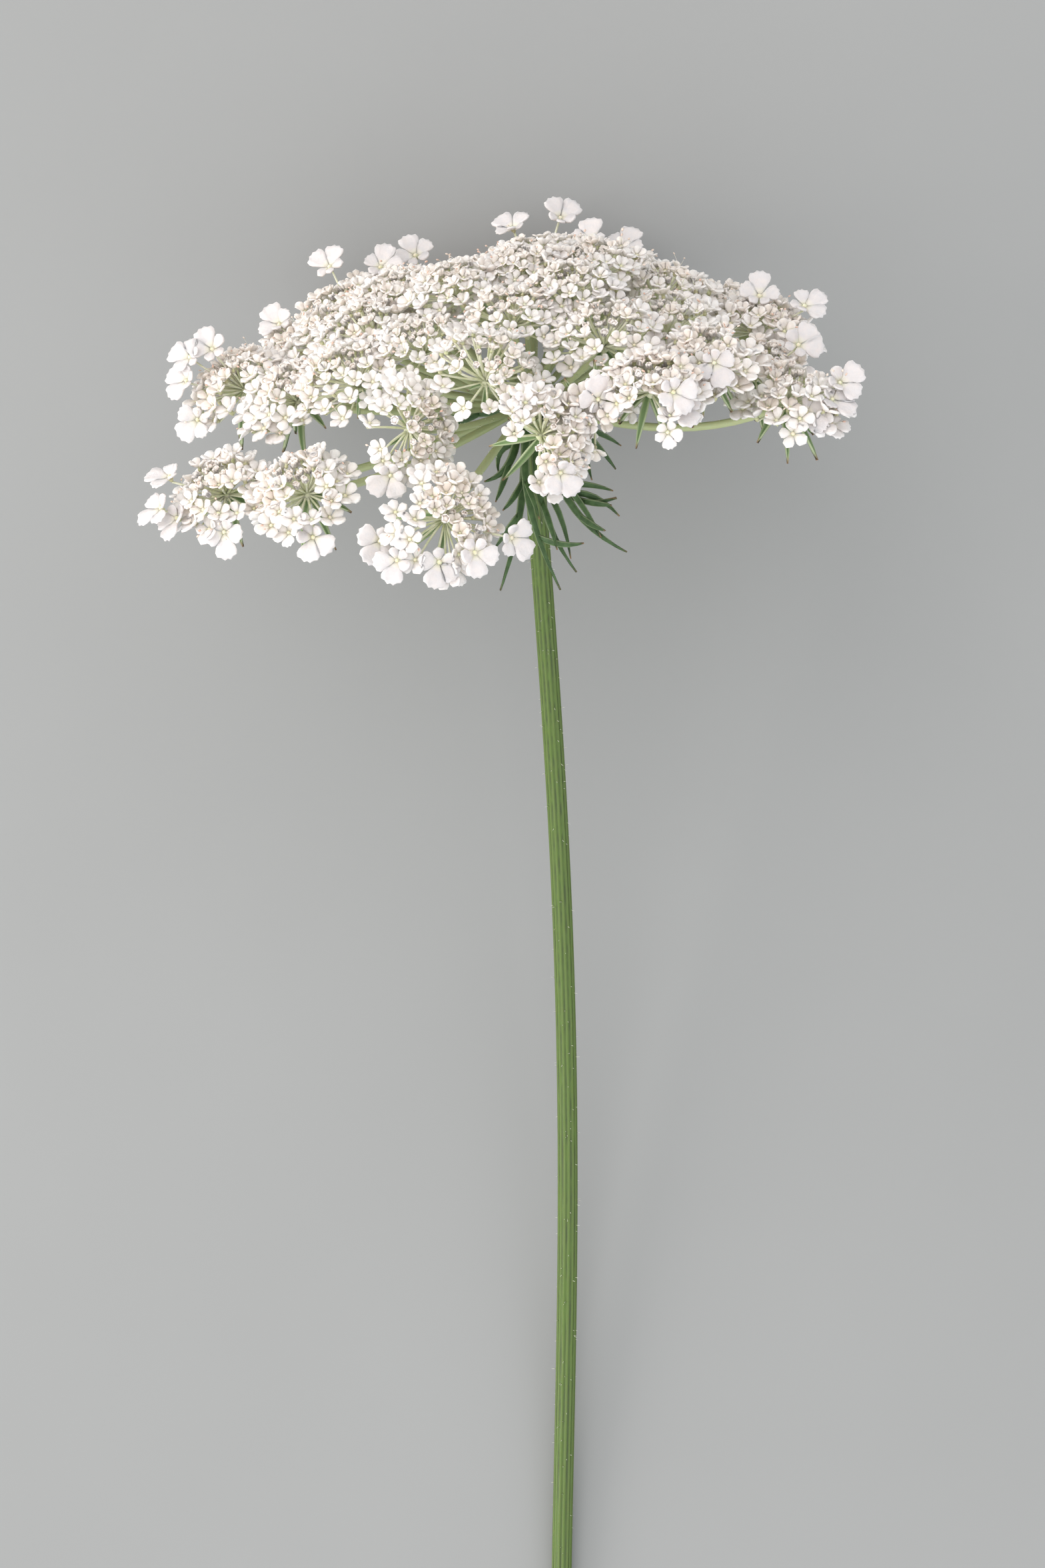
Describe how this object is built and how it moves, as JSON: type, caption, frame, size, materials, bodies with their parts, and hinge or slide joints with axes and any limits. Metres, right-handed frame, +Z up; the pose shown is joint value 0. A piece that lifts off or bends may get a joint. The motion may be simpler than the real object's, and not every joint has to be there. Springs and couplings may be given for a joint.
{
  "type": "carrot flower",
  "caption": "Cut wild carrot flower lying on its side: a ribbed stem, a spoked dome of rays ending in clusters of small white florets, and a ruff of feathery bracts",
  "frame": {"origin": "on the surface that the flower lies on, under the middle of its box", "axes": "+Y runs along the stem from the cut end to the head, +X across the head, +Z up from the surface"},
  "size_m": [0.0916, 0.194, 0.0732],
  "materials": {
    "green": "satin, ribbed and finely bristled green plant stem",
    "leaf_green": "matt darker green leaf",
    "petals": "soft matt white petals with cream buds"
  },
  "bodies": {
    "root": {"stem": "green", "bract_1": "leaf_green", "bract_2": "leaf_green", "bract_3": "leaf_green", "bract_4": "leaf_green", "bract_5": "leaf_green", "bract_6": "leaf_green", "bract_7": "leaf_green", "bract_8": "leaf_green", "bract_9": "leaf_green", "umbellet_01": "petals", "umbellet_02": "petals", "umbellet_03": "petals", "umbellet_04": "petals", "umbellet_05": "petals", "umbellet_06": "petals", "umbellet_07": "petals", "umbellet_08": "petals", "umbellet_09": "petals", "umbellet_10": "petals", "umbellet_11": "petals", "umbellet_12": "petals", "umbellet_13": "petals", "umbellet_14": "petals", "umbellet_15": "petals", "umbellet_16": "petals", "umbellet_17": "petals", "umbellet_18": "petals", "umbellet_19": "petals", "umbellet_20": "petals", "umbellet_21": "petals", "umbellet_22": "petals", "umbellet_23": "petals", "umbellet_24": "petals", "umbellet_25": "petals", "umbellet_26": "petals", "umbellet_27": "petals", "umbellet_28": "petals", "umbellet_29": "petals", "umbellet_30": "petals", "umbellet_31": "petals", "umbellet_32": "petals", "umbellet_33": "petals", "umbellet_34": "petals", "umbellet_35": "petals", "umbellet_36": "petals", "umbellet_37": "petals", "umbellet_38": "petals", "umbellet_39": "petals", "umbellet_40": "petals"}
  },
  "joints": []
}
